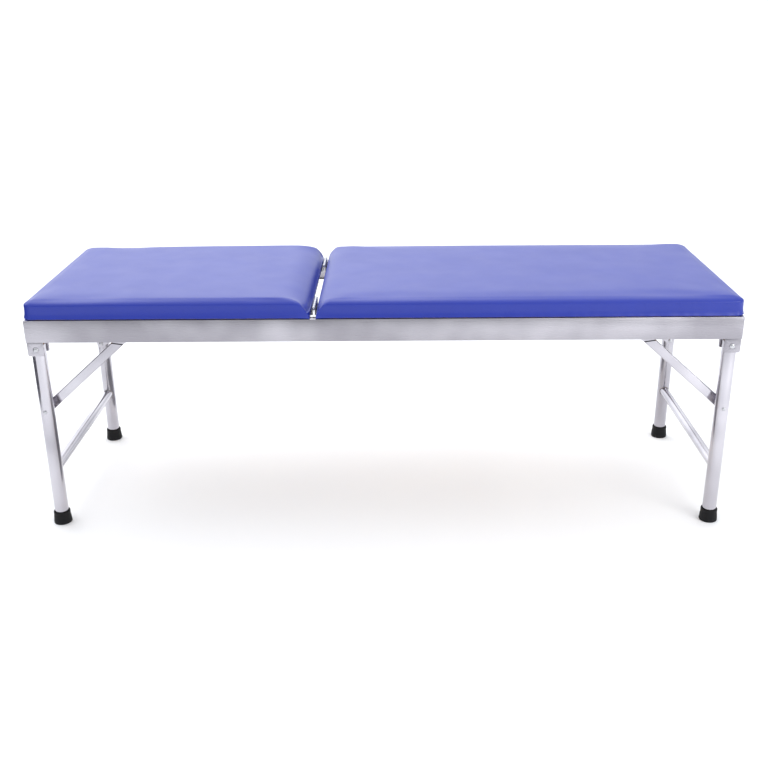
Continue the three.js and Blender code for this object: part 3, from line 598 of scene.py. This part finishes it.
def brace_shape(length, slant):
    """A square tube pressed flat at its lower end, and sawn off on a slant at its upper end, where a
    tongue runs on to the pin. Its pivots are at 0 and length along X, its width is along Y and its depth
    along Z. slant is how far the cut runs along the tube for each step across its width."""
    press_start, press_end = 20 * MM, 46 * MM
    flat, full, wide = BRACE_PLATE / 2, BRACE_DEPTH / 2, BRACE_WIDTH / 2
    mouth, wall, recess = length - 76 * MM, 1.4 * MM, 12 * MM
    marks = [-BRACE_END * math.cos(a) for a in np.linspace(0.16, math.pi / 2, 9)]
    marks += [*np.linspace(4 * MM, press_end + 6 * MM, 16), mouth - 40 * MM]
    loops = []
    for s in marks:
        opened = smooth_step((s - press_start) / (press_end - press_start))
        half_depth = flat + (full - flat) * opened
        half_width = BRACE_END + (wide - BRACE_END) * opened
        if s < 0:
            half_width = math.sqrt(max(BRACE_END ** 2 - s ** 2, (1 * MM) ** 2))
        loops.append(brace_loop(s, half_width, half_depth, 0.5 * MM + 2.4 * MM * opened))
    outer_corner, inner_corner = 2.9 * MM, 1.5 * MM
    for inset, s, corner in ((0, mouth, outer_corner), (wall, mouth, inner_corner),
                             (wall, mouth - recess, inner_corner)):
        loop = brace_loop(s, wide - inset, full - inset, corner)
        loops.append([(x + slant * y, y, z) for x, y, z in loop])
    tongue_start = mouth - recess - 8 * MM
    round_end = [length + BRACE_END * math.sin(a) for a in np.linspace(0, math.pi / 2 - 0.16, 9)]
    inner = wide - wall - 0.3 * MM
    tongue = [brace_loop(s, inner, flat, 0.5 * MM) for s in (tongue_start, mouth + 6 * MM)]
    tongue.append(brace_loop(mouth + 16 * MM, BRACE_END, flat, 0.5 * MM))
    tongue += [brace_loop(s, math.sqrt(BRACE_END ** 2 - (s - length) ** 2), flat, 0.5 * MM)
               for s in round_end]
    return joined(lofted(loops), lofted(tongue))


def make_braces(zinc):
    for end, side in CORNERS:
        corner, outward = f"{end}_{side}", SIDES[side]
        rivet, pin = middle(f"{corner}_brace_rivet"), middle(f"{corner}_guide_pin")
        plane_y = middle(f"{corner}_brace").y
        run = Vector((pin.x - rivet.x, 0, pin.z - rivet.z))
        length = run.length
        along = run.normalized()
        depth = Vector((0, 1, 0))
        place = Matrix.Translation((rivet.x, plane_y, rivet.z)) @ Matrix(
            (along, depth.cross(along), depth)).transposed().to_4x4()
        lean = math.atan2(run.z, run.x)
        name = f"stainless_tube_brushed_along_{end}_braces"
        steel = bpy.data.materials.get(name) or brushed_stainless(name, 0, lean, TUBE_POLISH)
        slant = MOUTH_LEAN * along.x / along.z
        make_piece(f"{corner}_brace_tube", moved(brace_shape(length, slant), place), steel,
                   f"{corner}_brace", sharp=50)
        make_brace_rivet(corner, outward, rivet, plane_y, zinc)
        make_guide_pin(corner, outward, pin, zinc)


def make_brace_rivet(corner, outward, centre, plane_y, zinc):
    node = f"{corner}_brace_rivet"
    low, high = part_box(node)
    reach = (high.y - low.y) / 2
    shank = 3 * MM
    # Along +Z, outwards: the tail inside the brace, the bush between brace and leg, and the head.
    head_height, tail_radius, tail_height = 2.6 * MM, 6.5 * MM, 3 * MM
    leg_face = reach - head_height
    head = [*domed_head(5.5 * MM, head_height, leg_face), (shank, leg_face)]
    plate = abs(plane_y) - abs(centre.y)
    gap = 1.8 * MM  # from the brace's middle plane to the tail and to the bush
    tail = [(shank, plate - gap)] + [
        (tail_radius * math.sin(a), plate - gap - tail_height * math.cos(a))
        for a in np.linspace(math.pi / 2, 0, 9)]
    bush_end = plate + gap
    body = turned(head + tail)
    leg_low, leg_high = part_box(f"{corner}_leg")
    leg_radius = (leg_high.x - leg_low.x) / 2
    leg_inner = abs(middle(f"{corner}_leg").y) - leg_radius - abs(centre.y)
    bush = ring(shank, tail_radius, bush_end, leg_inner + 1.5 * MM)
    shape = moved(joined(body, bush), Matrix.Translation(centre) @ LAY[outward])
    make_piece(f"{corner}_brace_rivet_and_bush", shape, zinc, node, sharp=40)


def make_guide_pin(corner, outward, centre, zinc):
    """The headed pin that slides in the guide, just outside the brace's end."""
    node = f"{corner}_guide_pin"
    low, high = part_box(node)
    half = (high.y - low.y) / 2
    pin, head = 5 * MM, 8.5 * MM
    profile = [(0, half), (head - 1 * MM, half), (head, half - 4.5 * MM), (pin, half - 4.5 * MM),
               (pin, -half), (0, -half)]
    shape = moved(turned(softened(profile, 0.6 * MM)), Matrix.Translation(centre) @ LAY[outward])
    make_piece(f"{corner}_sliding_pin", shape, zinc, node)


# ---------------------------------------------------------------- tilt hinges and ratchet stays
def make_hinges(zinc):
    """Butt hinges with rolled knuckles on a headed pin."""
    thickness, plate = 2.2 * MM, 2.5 * MM
    knuckle, hole, pitch = 4.5 * MM, 2.8 * MM, 20 * MM
    for side in SIDES:
        pin_low, pin_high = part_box(f"{side}_hinge_pin")
        axis = middle(f"{side}_hinge_pin")
        for leaf, toward in (("seat", 1), ("backrest", -1)):
            node = f"{side}_hinge_{leaf}_leaf"
            low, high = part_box(node)
            foot, reach = low.z, (high.x if toward > 0 else low.x) - axis.x
            inner, outer = toward * (knuckle - thickness), toward * knuckle
            profile = [(inner, foot - axis.z), (reach, foot - axis.z), (reach, foot + plate - axis.z),
                       (outer, foot + plate - axis.z), (outer, -5.2 * MM), (inner, -5.2 * MM)]
            profile = softened(profile, 0.8 * MM, 3, True)
            half = (high.y - low.y) / 2
            # Outlines in X and Z are drawn out along Y.
            draw = Matrix.Translation((axis.x, axis.y, axis.z)) @ Matrix(
                ((1, 0, 0, 0), (0, 0, -1, 0), (0, 1, 0, 0), (0, 0, 0, 1)))
            parts = [moved(prism(profile, -half, half), draw)]
            first = 0 if leaf == "seat" else 1
            for k in range(first, 5, 2):
                y0 = -50 * MM + k * pitch + 0.15 * MM
                y1 = y0 + pitch - 0.3 * MM
                neck = [(min(inner, outer), -5.6 * MM), (max(inner, outer), -5.6 * MM),
                        (max(inner, outer), -1.5 * MM), (min(inner, outer), -1.5 * MM)]
                parts.append(moved(ring(hole, knuckle, -y1, -y0), draw))
                parts.append(moved(prism(neck, -y1, -y0), draw))
            make_piece(f"{side}_hinge_{leaf}_leaf_rolled", joined(*parts), zinc, node, sharp=40)
        half = (pin_high.y - pin_low.y) / 2
        head = half - 1.6 * MM
        profile = [(0, -half), *[(3.6 * MM, -head - 1.0 * MM), (3.6 * MM, -head)], (2.5 * MM, -head),
                   (2.5 * MM, head), (3.6 * MM, head), (3.6 * MM, head + 1.0 * MM), (0, half)]
        make_piece(f"{side}_hinge_pin_turned", moved(turned(softened(profile, 0.4 * MM)),
                                                     Matrix.Translation(axis) @ TO_REAR),
                   zinc, f"{side}_hinge_pin")


def make_stays(zinc):
    for side in SIDES:
        for part in ("stay_sleeve", "stay_ratchet_bar", "stay_lug"):
            refined(f"{side}_{part}", zinc, 0.35 * MM)
    low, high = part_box("stay_pivot_rod")
    radius, half = (high.z - low.z) / 2, (high.y - low.y) / 2
    profile = [(0, -half), (radius - 1 * MM, -half), (radius, -half + 1 * MM), (radius, half - 1 * MM),
               (radius - 1 * MM, half), (0, half)]
    make_piece("stay_pivot_rod_turned", moved(turned(profile), Matrix.Translation(middle("stay_pivot_rod"))
                                              @ TO_REAR), zinc, "stay_pivot_rod")


# ---------------------------------------------------------------- pads
PAD_START_INSET = 1 * MM  # the cover starts this much inside its finished size and swells out
PAD_SWELL = 4 * MM  # the most that a point may move
END_ROUND = 28 * MM  # at the pads' outer ends
FACE_ROUNDS = (24 * MM, 38 * MM)  # at the front and the rear face
BOARD_ROUND = 30 * MM
TOP_ROUND = 12 * MM
BASE_ROUND = 4 * MM
# Each pad's edge at the gap: which way it faces, the round's length and height, its length near the
# front and rear faces, and how far its corners draw back.
GAP_EDGES = {"backrest": (1, 76 * MM, 49 * MM, 26 * MM, 13 * MM),
             "seat": (-1, 34 * MM, 36 * MM, 26 * MM, 12 * MM)}
GAP_FULLNESS = 2.4  # 2 makes the round a quarter of an ellipse, and more makes it fuller


def axis_marks(low, high, rounds, spacing, steps):
    """Marks along one axis of a rounded block as (core place, lean). The lean goes from -1 to 0 over
    the first round and from 0 to 1 over the last."""
    low_round, high_round = rounds
    leans = [math.tan(math.radians(45 * (1 - i / steps))) for i in range(steps)]
    count = max(2, round((high - high_round - low - low_round) / spacing))
    marks = [(low + low_round, -lean) for lean in leans]
    marks += [(place, 0.0) for place in np.linspace(low + low_round, high - high_round, count + 1)]
    marks += [(high - high_round, lean) for lean in reversed(leans)]
    return marks


def rounded_block(low, high, rounds, spacing=(14 * MM, 14 * MM, 9 * MM), steps=6):
    """A closed block of even quads with elliptical edges. rounds gives the low and high round per axis."""
    marks = [axis_marks(low[k], high[k], rounds[k], spacing[k], steps) for k in range(3)]
    verts, faces = [], []
    for axis in range(3):
        others = [k for k in range(3) if k != axis]
        for sign in (-1, 1):
            core = low[axis] + rounds[axis][0] if sign < 0 else high[axis] - rounds[axis][1]
            start = len(verts)
            rows, columns = marks[others[0]], marks[others[1]]
            for place_u, lean_u in rows:
                for place_v, lean_v in columns:
                    point, lean = [0.0] * 3, [0.0] * 3
                    point[axis], lean[axis] = core, float(sign)
                    point[others[0]], lean[others[0]] = place_u, lean_u
                    point[others[1]], lean[others[1]] = place_v, lean_v
                    size = math.sqrt(sum(c * c for c in lean))
                    verts.append(tuple(point[k] + rounds[k][0 if lean[k] < 0 else 1] * lean[k] / size
                                       for k in range(3)))
            for i in range(len(rows) - 1):
                for j in range(len(columns) - 1):
                    a = start + i * len(columns) + j
                    faces.append((a, a + 1, a + len(columns) + 1, a + len(columns)))
    return verts, faces


def evened(mesh, move, held, rounds=14):
    """Spreads each vertex's move over its neighbours, so that tight cloth shows no ripples."""
    ends = np.array([edge.vertices[:] for edge in mesh.edges])
    count = np.bincount(ends.ravel(), minlength=len(move))[:, None]
    for _ in range(rounds):
        total = np.zeros_like(move)
        np.add.at(total, ends[:, 0], move[ends[:, 1]])
        np.add.at(total, ends[:, 1], move[ends[:, 0]])
        move = (move + total / count) / 2
        move[held] = 0
    return move


def swollen(piece, held_z):
    """Fills the cover by cloth simulation: pressure inside, held where the board stiffens it."""
    mesh = piece.data
    before = np.array([v.co for v in mesh.vertices])
    held = np.flatnonzero(before[:, 2] < held_z)
    group = piece.vertex_groups.new(name="held")
    group.add([int(i) for i in held], 1.0, "REPLACE")
    cloth = piece.modifiers.new("filling", "CLOTH")
    settings = cloth.settings
    settings.quality = 6
    settings.mass = 0.3
    settings.tension_stiffness = settings.compression_stiffness = 40
    settings.shear_stiffness = 25
    settings.bending_stiffness = 8
    settings.use_pressure = True
    settings.uniform_pressure_force = 4
    settings.vertex_group_mass = "held"
    settings.effector_weights.gravity = 0
    cloth.point_cache.frame_start, cloth.point_cache.frame_end = 1, 20
    scene = bpy.context.scene
    for frame_number in range(1, 21):
        scene.frame_set(frame_number)
    graph = bpy.context.evaluated_depsgraph_get()
    after = np.array([v.co for v in piece.evaluated_get(graph).data.vertices])
    piece.modifiers.clear()
    piece.vertex_groups.clear()
    scene.frame_set(1)
    move = evened(mesh, after - before, held)
    length = np.linalg.norm(move, axis=1, keepdims=True)
    capped = np.tanh(length / PAD_SWELL) * PAD_SWELL
    final = before + move * np.divide(capped, length, out=np.zeros_like(length), where=length > 1e-9)
    mesh.vertices.foreach_set("co", final.ravel())
    mesh.update()


def underside_wrap(board_low, board_high, z):
    """The margin of the cover, folded flat under the board and trimmed by hand."""
    depth, thickness, out = 34 * MM, 0.2 * MM, 3 * MM
    verts, faces = [], []
    corners = [(board_low.x, board_low.y), (board_high.x, board_low.y),
               (board_high.x, board_high.y), (board_low.x, board_high.y)]
    centre = Vector(((board_low.x + board_high.x) / 2, (board_low.y + board_high.y) / 2))
    for k in range(4):
        a, b = Vector(corners[k]), Vector(corners[(k + 1) % 4])
        count = max(2, round((b - a).length / (25 * MM)))
        inward = Vector((centre.x - (a.x + b.x) / 2, centre.y - (a.y + b.y) / 2)).normalized()
        along = (b - a).normalized()
        outer, inner = [], []
        for i in range(count + 1):
            t = i / count
            trim = 2.2 * MM * math.sin(i * 1.7 + k) * math.sin(i * 0.6)
            mitre = depth if i in (0, count) else 0.0
            edge = a.lerp(b, t)
            outer.append(edge - inward * out)
            shift = along * mitre * (1 if i == 0 else -1 if i == count else 0)
            inner.append(edge + inward * (depth + trim) + shift)
        loop = outer + inner[::-1]
        level = z - 0.12 * MM - (0.02 * MM if k % 2 else 0)
        verts_faces = prism([(p.x, p.y) for p in loop], level - thickness / 2, level)
        verts, faces = joined((verts, faces), verts_faces)
    return verts, faces


def pad_shape(node, edge):
    """The cover's starting shape, a little inside the CAD pad, with its rounded edge at the gap."""
    low, high = (corner.copy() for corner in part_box(node))
    low += Vector((PAD_START_INSET, PAD_START_INSET, 0))
    high -= Vector((PAD_START_INSET,) * 3)
    faces_to, size_x, size_z, side_size_x, draw_back = edge
    gap_round = 8 * MM
    rounds_x = (END_ROUND, gap_round) if faces_to > 0 else (gap_round, END_ROUND)
    verts, faces = rounded_block(low, high, (rounds_x, FACE_ROUNDS, (BASE_ROUND, TOP_ROUND)))
    points = np.array(verts)
    edge_x = high.x if faces_to > 0 else low.x
    side = np.clip((np.abs(points[:, 1]) - (high.y - 60 * MM)) / (60 * MM), 0, 1) ** 2
    size = size_x + (side_size_x - size_x) * side
    inward = (edge_x - points[:, 0]) * faces_to
    # The marks across the round are spread so that they lie evenly round the curve.
    share = np.sin(np.clip(1 - inward / size, 0, 1) * math.pi / 2) * 0.985
    height = (points[:, 2] - low.z) / (high.z - low.z)
    near = inward < size
    points[near, 0] = (edge_x - faces_to * size * (1 - share))[near]
    points[:, 2] -= size_z * (1 - (1 - share ** GAP_FULLNESS) ** (1 / GAP_FULLNESS)) * height
    points[:, 0] -= faces_to * draw_back * side * share * height ** 2
    return [tuple(p) for p in points], faces, low, high


def tugged(points, low, high):
    """Small folds where the staples pull the cover's lower edge, fading out upwards."""
    for point in points:
        x, y, z = point
        fade = math.exp(-max(z - low.z, 0) / (13 * MM))
        depth = 0.55 * MM * fade
        if min(x - low.x, high.x - x) > 20 * MM and abs(y) > high.y - 8 * MM:
            point[1] += math.copysign(depth, y) * math.sin(x * 171 + 2 * math.sin(x * 47))
        elif abs(y) < high.y - 20 * MM and min(x - low.x, high.x - x) < 6 * MM:
            point[0] += depth * math.sin(y * 163 + 2 * math.sin(y * 39))
    return points


def make_pad(name, node, board, body, vinyl, edge):
    verts, faces, low, high = pad_shape(node, edge)
    mesh = bpy.data.meshes.new(name)
    mesh.from_pydata(verts, [], faces)
    tidy = bmesh.new()
    tidy.from_mesh(mesh)
    bmesh.ops.remove_doubles(tidy, verts=tidy.verts, dist=0.05 * MM)
    bmesh.ops.recalc_face_normals(tidy, faces=tidy.faces)
    tidy.to_mesh(mesh)
    tidy.free()
    piece = new_object(name, mesh)
    # The board lies in a recess under the foam.
    board_low, board_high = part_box(board)
    swollen(piece, board_high.z)
    for vertex in mesh.vertices:
        x, y, z = vertex.co
        inside = min(x - board_low.x, board_high.x - x, y - board_low.y, board_high.y - y)
        if z < low.z + 2 * MM and inside > 0.5 * MM:
            vertex.co.z = board_high.z + 0.2 * MM
    finer = piece.modifiers.new("finer", "SUBSURF")
    finer.levels = finer.render_levels = 1
    applied(piece)
    mesh = piece.data
    places = tugged([list(v.co) for v in mesh.vertices], low, high)
    mesh.vertices.foreach_set("co", np.array(places).ravel())
    add_shape(piece, underside_wrap(board_low, board_high, board_low.z))
    piece.data.shade_smooth()
    piece.data.set_sharp_from_angle(angle=math.radians(60))
    dress(piece, vinyl, body, (node,))


def add_shape(piece, shape):
    """Adds a shape to a piece's mesh."""
    extra = bpy.data.meshes.new("extra")
    extra.from_pydata(shape[0], [], shape[1])
    both = bmesh.new()
    both.from_mesh(piece.data)
    both.from_mesh(extra)
    both.to_mesh(piece.data)
    both.free()
    bpy.data.meshes.remove(extra)


def make_pads():
    vinyl = coated_cloth()
    plywood = birch_plywood()
    for node in ("seat_board", "backrest_board"):
        low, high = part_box(node)
        corners = [(low.x, low.y), (high.x, low.y), (high.x, high.y), (low.x, high.y)]
        shape = prism(softened(corners, BOARD_ROUND, 8, True), low.z, high.z)
        make_piece(f"{node}_sawn", shape, plywood, node, edge=0.6 * MM)
    make_pad("seat_cushion", "seat_pad", "seat_board", "frame", vinyl, GAP_EDGES["seat"])
    make_pad("backrest_cushion", "backrest_pad", "backrest_board", "backrest", vinyl, GAP_EDGES["backrest"])


# ---------------------------------------------------------------- screws, staples and welds
def repeating_tree(name, sizes):
    """A Geometry Nodes tree with named inputs for its sizes. Returns it and its inputs."""
    tree = bpy.data.node_groups.new(name, "GeometryNodeTree")
    tree.interface.new_socket("Geometry", in_out="INPUT", socket_type="NodeSocketGeometry")
    for label in sizes:
        tree.interface.new_socket(label, in_out="INPUT", socket_type="NodeSocketFloat")
    tree.interface.new_socket("Geometry", in_out="OUTPUT", socket_type="NodeSocketGeometry")
    return tree, add_node(tree, "NodeGroupInput").outputs


def finish_tree(tree, instances, material):
    real = add_node(tree, "GeometryNodeRealizeInstances", links={"Geometry": instances})
    painted = add_node(tree, "GeometryNodeSetMaterial", values={"Material": material},
                       links={"Geometry": real.outputs["Geometry"]})
    add_node(tree, "NodeGroupOutput", links={"Geometry": painted.outputs["Geometry"]})


def along_rows(tree, rows, pitch):
    """Points at even steps along rows of edges, and the directions of the rows."""
    curve = add_node(tree, "GeometryNodeMeshToCurve", links={"Mesh": rows}).outputs["Curve"]
    steps = add_node(tree, "GeometryNodeResampleCurve", {"mode": "LENGTH"},
                     links={"Curve": curve, "Length": pitch}).outputs["Curve"]
    tangent = add_node(tree, "GeometryNodeInputTangent").outputs["Tangent"]
    turn = add_node(tree, "FunctionNodeAlignRotationToVector", {"axis": "X"}, links={"Vector": tangent})
    return steps, turn.outputs["Rotation"]


def staple_tree(material):
    """Staple crowns along rows, each a little askew as they leave the gun."""
    tree, sizes = repeating_tree("staples_in_rows", ("Pitch", "Crown", "Wire"))
    steps, turn = along_rows(tree, sizes["Geometry"], sizes["Pitch"])
    size = add_node(tree, "ShaderNodeCombineXYZ",
                    links={"X": sizes["Crown"], "Y": sizes["Wire"], "Z": sizes["Wire"]}).outputs["Vector"]
    crown = add_node(tree, "GeometryNodeMeshCube", links={"Size": size}).outputs["Mesh"]
    placed = add_node(tree, "GeometryNodeInstanceOnPoints",
                      links={"Points": steps, "Instance": crown, "Rotation": turn}).outputs["Instances"]
    askew = add_node(tree, "FunctionNodeRandomValue", {"data_type": "FLOAT_VECTOR"},
                     {"Min": (0, 0, -0.22), "Max": (0, 0, 0.22), "Seed": 7}).outputs["Value"]
    turned_a_little = add_node(tree, "GeometryNodeRotateInstances",
                               links={"Instances": placed, "Rotation": askew}).outputs["Instances"]
    finish_tree(tree, turned_a_little, material)
    return tree


def weld_tree(material):
    """Overlapping ripples of a TIG bead along the joint between two tubes."""
    tree, sizes = repeating_tree("weld_ripples", ("Pitch", "Bead"))
    steps, turn = along_rows(tree, sizes["Geometry"], sizes["Pitch"])
    ripple = add_node(tree, "GeometryNodeMeshUVSphere", values={"Segments": 8, "Rings": 5},
                      links={"Radius": sizes["Bead"]}).outputs["Mesh"]
    swing = add_node(tree, "FunctionNodeRandomValue", {"data_type": "FLOAT_VECTOR"},
                     {"Min": (0.55, 0.85, 0.8), "Max": (0.75, 1.15, 1.0), "Seed": 11}).outputs["Value"]
    placed = add_node(tree, "GeometryNodeInstanceOnPoints", links={
        "Points": steps, "Instance": ripple, "Rotation": turn, "Scale": swing}).outputs["Instances"]
    smooth = add_node(tree, "GeometryNodeSetShadeSmooth", links={"Geometry": placed}).outputs["Geometry"]
    finish_tree(tree, smooth, material)
    return tree


def screw_tree(material, head):
    """A screw head on every point."""
    tree, sizes = repeating_tree("screws_on_points", ("Size",))
    source = add_node(tree, "GeometryNodeObjectInfo", values={"Object": head}).outputs["Geometry"]
    twist = add_node(tree, "FunctionNodeRandomValue", {"data_type": "FLOAT_VECTOR"},
                     {"Min": (0, 0, 0), "Max": (0, 0, 1.57), "Seed": 3}).outputs["Value"]
    placed = add_node(tree, "GeometryNodeInstanceOnPoints", links={
        "Points": sizes["Geometry"], "Instance": source, "Rotation": twist, "Scale": sizes["Size"]})
    finish_tree(tree, placed.outputs["Instances"], material)
    return tree


def grown(name, verts, edges, tree, sizes, material, body, slot):
    """Runs a tree over points or rows of edges, and keeps what it makes as a plain mesh on a body."""
    mesh = bpy.data.meshes.new(name)
    mesh.from_pydata(verts, edges, [])
    piece = new_object(name, mesh)
    modifier = piece.modifiers.new("repeat", "NODES")
    modifier.node_group = tree
    for item in tree.interface.items_tree:
        if item.in_out == "INPUT" and item.name in sizes:
            modifier[item.identifier] = float(sizes[item.name])
    applied(piece)
    dress(piece, material, body)


def screw_head():
    """A countersunk pan head facing down, with a cross recess: a turned head whose recess is narrowed
    between its four arms."""
    rim, dish = 3.9 * MM, 2.1 * MM
    profile = [(0, -0.5 * MM), (0.5 * MM, -0.5 * MM), (dish, -1.5 * MM), (2.6 * MM, -1.5 * MM),
               (3.4 * MM, -1.1 * MM), (rim, -0.4 * MM), (rim, 0.1 * MM), (0, 0.1 * MM)]
    verts, faces = turned(profile, 24)
    narrowed = []
    for x, y, z in verts:
        radius = math.hypot(x, y)
        if 0.4 * MM < radius < dish + 0.1 * MM:
            arm = 0.35 + 0.65 * abs(math.cos(2 * math.atan2(y, x))) ** 5
            x, y = x * arm, y * arm
        narrowed.append((x, y, z))
    mesh = bpy.data.meshes.new("screw_head")
    mesh.from_pydata(narrowed, [], faces)
    return new_object("screw_head", mesh)


def rows_of(loops):
    """Closed rows of edges from loops of points."""
    verts, edges = [], []
    for loop in loops:
        start, count = len(verts), len(loop)
        verts += loop
        edges += [(start + k, start + (k + 1) % count) for k in range(count)]
    return verts, edges


def make_staples(zinc):
    tree = staple_tree(zinc)
    for pad, body in (("seat", "frame"), ("backrest", "backrest")):
        low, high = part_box(f"{pad}_board")
        margin, z = 16 * MM, low.z - 0.65 * MM
        corners = [(low.x + margin, low.y + margin), (high.x - margin, low.y + margin),
                   (high.x - margin, high.y - margin), (low.x + margin, high.y - margin)]
        verts, edges = rows_of([[(x, y, z) for x, y in corners]])
        sizes = {"Pitch": 32 * MM, "Crown": 11 * MM, "Wire": 0.9 * MM}
        grown(f"{pad}_cover_staples", verts, edges, tree, sizes, zinc, body, ZINC_SLOT)


def make_screws(zinc):
    head = screw_head()
    tree = screw_tree(zinc, head)
    for leaf, body in (("seat", "frame"), ("backrest", "backrest")):
        points = []
        for side in SIDES:
            low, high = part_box(f"{side}_hinge_{leaf}_leaf")
            away = high.x if leaf == "seat" else low.x
            axis = middle(f"{side}_hinge_pin")
            for k, y in enumerate(np.linspace(low.y + 12 * MM, high.y - 12 * MM, 4)):
                reach = 0.82 if k % 2 else 0.5
                points.append((axis.x + (away - axis.x) * reach, y, low.z))
        grown(f"{leaf}_hinge_screws", points, [], tree, {"Size": 1}, zinc, body, ZINC_SLOT)
    bpy.data.objects.remove(head)


def make_welds():
    bead_steel = brushed_stainless("stainless_tig_bead", 0, polish=(0.3, 0.45), tones=("#8a8484", "#bdb9b9"))
    tree = weld_tree(bead_steel)
    sizes = {"Pitch": 1.8 * MM, "Bead": 2 * MM}
    for end in ENDS:
        node = f"{end}_leg_crossbar"
        low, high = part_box(node)
        bar, centre = (high.z - low.z) / 2, middle(node)
        leg = middle(f"{end}_front_leg")
        leg_low, leg_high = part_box(f"{end}_front_leg")
        tube = (leg_high.x - leg_low.x) / 2
        loops = []
        for sign in SIDES.values():
            loops.append([(centre.x + bar * math.cos(a),
                           sign * (abs(leg.y) - math.sqrt(tube ** 2 - (bar * math.cos(a)) ** 2)),
                           centre.z + bar * math.sin(a))
                          for a in np.linspace(0, 2 * math.pi, 32, endpoint=False)])
        grown(f"{end}_crossbar_welds", *rows_of(loops), tree, sizes, bead_steel, BODY_OF[node], STEEL_SLOT)
    loops = []
    for place in ("head", "backrest", "hinge", "seat", "foot"):
        low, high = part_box(f"{place}_cross_tube")
        top = min(high.z, low.z + 0.03) - 1 * MM
        for sign in SIDES.values():
            y = sign * (high.y - 0.4 * MM)
            loops.append([(low.x, y, low.z), (high.x, y, low.z), (high.x, y, top), (low.x, y, top)])
    grown("cross_tube_welds", *rows_of(loops), tree, sizes, bead_steel, "frame", STEEL_SLOT)


# ---------------------------------------------------------------- all together
make_camera()
make_studio()
zinc_plate = zinc_steel()
make_frame()
make_legs(zinc_plate, moulded_rubber())
make_braces(zinc_plate)
make_hinges(zinc_plate)
make_stays(zinc_plate)
make_pads()
make_staples(zinc_plate)
make_screws(zinc_plate)
make_welds()

bpy.context.view_layer.update()
